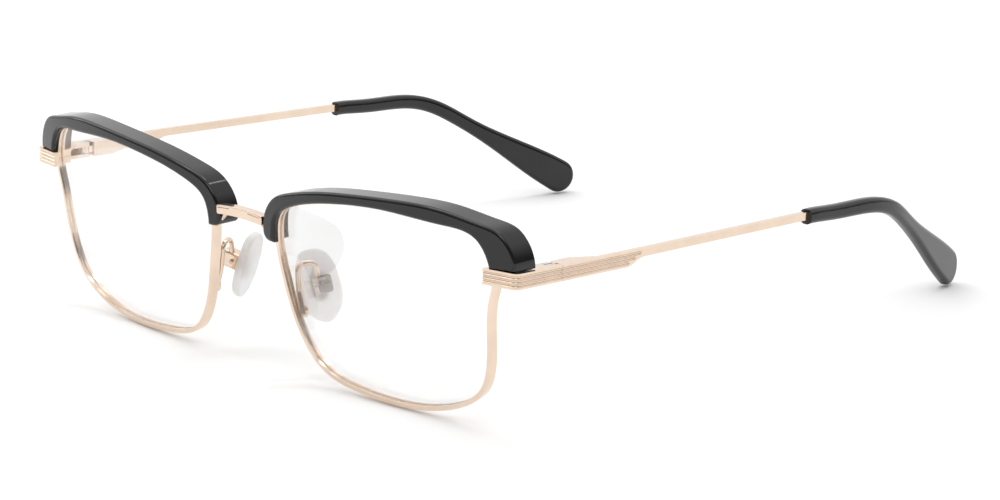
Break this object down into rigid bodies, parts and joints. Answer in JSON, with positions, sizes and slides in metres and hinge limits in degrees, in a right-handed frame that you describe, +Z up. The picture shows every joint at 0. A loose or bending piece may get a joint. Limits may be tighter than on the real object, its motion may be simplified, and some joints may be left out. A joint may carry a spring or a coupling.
{
  "type": "browline eyeglasses",
  "caption": "Browline eyeglasses: thin gold wire rims, black acetate brow pieces and temple tips, fluted gold endpieces, spring hinges and clear adjustable nose pads.",
  "frame": {"origin": "on the table under the middle of the open glasses' footprint", "axes": "+X to the wearer's left, +Y from the lenses back towards the ears, +Z up; the glasses stand open on rim bottoms and temple tips"},
  "size_m": [0.136, 0.1453, 0.0399],
  "materials": {
    "gold_metal": "polished champagne gold plating",
    "steel": "plain steel",
    "black_acetate": "polished cellulose acetate",
    "lens": "clear, uncoated demo lens",
    "silicone": "milky clear silicone"
  },
  "bodies": {
    "front": {"bridge": "gold_metal", "eyewire_left": "gold_metal", "lens_left": "lens", "brow_left": "black_acetate", "brow_brackets_left": "gold_metal", "brow_screws_left": "steel", "closing_block_upper_left": "gold_metal", "closing_block_lower_left": "gold_metal", "closing_screw_left": "steel", "endpiece_left": "gold_metal", "hinge_fork_left": "gold_metal", "pad_arm_left": "gold_metal", "pad_box_left": "gold_metal", "pad_screw_left": "steel", "eyewire_right": "gold_metal", "lens_right": "lens", "brow_right": "black_acetate", "brow_brackets_right": "gold_metal", "brow_screws_right": "steel", "closing_block_upper_right": "gold_metal", "closing_block_lower_right": "gold_metal", "closing_screw_right": "steel", "endpiece_right": "gold_metal", "hinge_fork_right": "gold_metal", "pad_arm_right": "gold_metal", "pad_box_right": "gold_metal", "pad_screw_right": "steel"},
    "hinge_pin_left": {"hinge_screw_left": "steel"},
    "tongue_left": {"hinge_tongue_left": "gold_metal", "tongue_retainer_left": "steel"},
    "temple_left": {"hinge_housing_left": "gold_metal", "hinge_spring_left": "steel", "temple_bar_left": "gold_metal", "temple_tip_left": "black_acetate"},
    "pad_left": {"nose_pad_left": "silicone", "pad_core_left": "steel"},
    "hinge_pin_right": {"hinge_screw_right": "steel"},
    "tongue_right": {"hinge_tongue_right": "gold_metal", "tongue_retainer_right": "steel"},
    "temple_right": {"hinge_housing_right": "gold_metal", "hinge_spring_right": "steel", "temple_bar_right": "gold_metal", "temple_tip_right": "black_acetate"},
    "pad_right": {"nose_pad_right": "silicone", "pad_core_right": "steel"}
  },
  "joints": [
    {"name": "temple_fold_left", "type": "hinge", "parent": "front", "child": "hinge_pin_left", "pos_m": [0.0657, -0.05725, 0.02873], "axis": [0, 0.0384, 0.9993], "range_deg": [0, 85]},
    {"name": "temple_flex_left", "type": "hinge", "parent": "hinge_pin_left", "child": "tongue_left", "pos_m": [0.0657, -0.05725, 0.02873], "axis": [0, 0.0384, 0.9993], "range_deg": [-12, 0], "stiffness_Nm_per_rad": 0.3},
    {"name": "spring_slide_left", "type": "slide", "parent": "tongue_left", "child": "temple_left", "axis": [0, 0.9993, -0.0384], "range_m": [0, 0.00053]},
    {"name": "pad_rock_left", "type": "hinge", "parent": "front", "child": "pad_left", "pos_m": [0.01264, -0.06244, 0.017], "axis": [0.4026, 0.9092, 0.1066], "range_deg": [-10, 10]},
    {"name": "temple_fold_right", "type": "hinge", "parent": "front", "child": "hinge_pin_right", "pos_m": [-0.0657, -0.05725, 0.02873], "axis": [0, -0.0384, -0.9993], "range_deg": [0, 77]},
    {"name": "temple_flex_right", "type": "hinge", "parent": "hinge_pin_right", "child": "tongue_right", "pos_m": [-0.0657, -0.05725, 0.02873], "axis": [0, -0.0384, -0.9993], "range_deg": [-12, 0], "stiffness_Nm_per_rad": 0.3},
    {"name": "spring_slide_right", "type": "slide", "parent": "tongue_right", "child": "temple_right", "axis": [0, 0.9993, -0.0384], "range_m": [0, 0.00053]},
    {"name": "pad_rock_right", "type": "hinge", "parent": "front", "child": "pad_right", "pos_m": [-0.01264, -0.06244, 0.017], "axis": [0.4026, -0.9092, -0.1066], "range_deg": [-10, 10]}
  ],
  "couplings": [
    {"joint": "spring_slide_left", "follows": "temple_flex_left", "m_per_rad": -0.0025},
    {"joint": "spring_slide_right", "follows": "temple_flex_right", "m_per_rad": -0.0025}
  ]
}
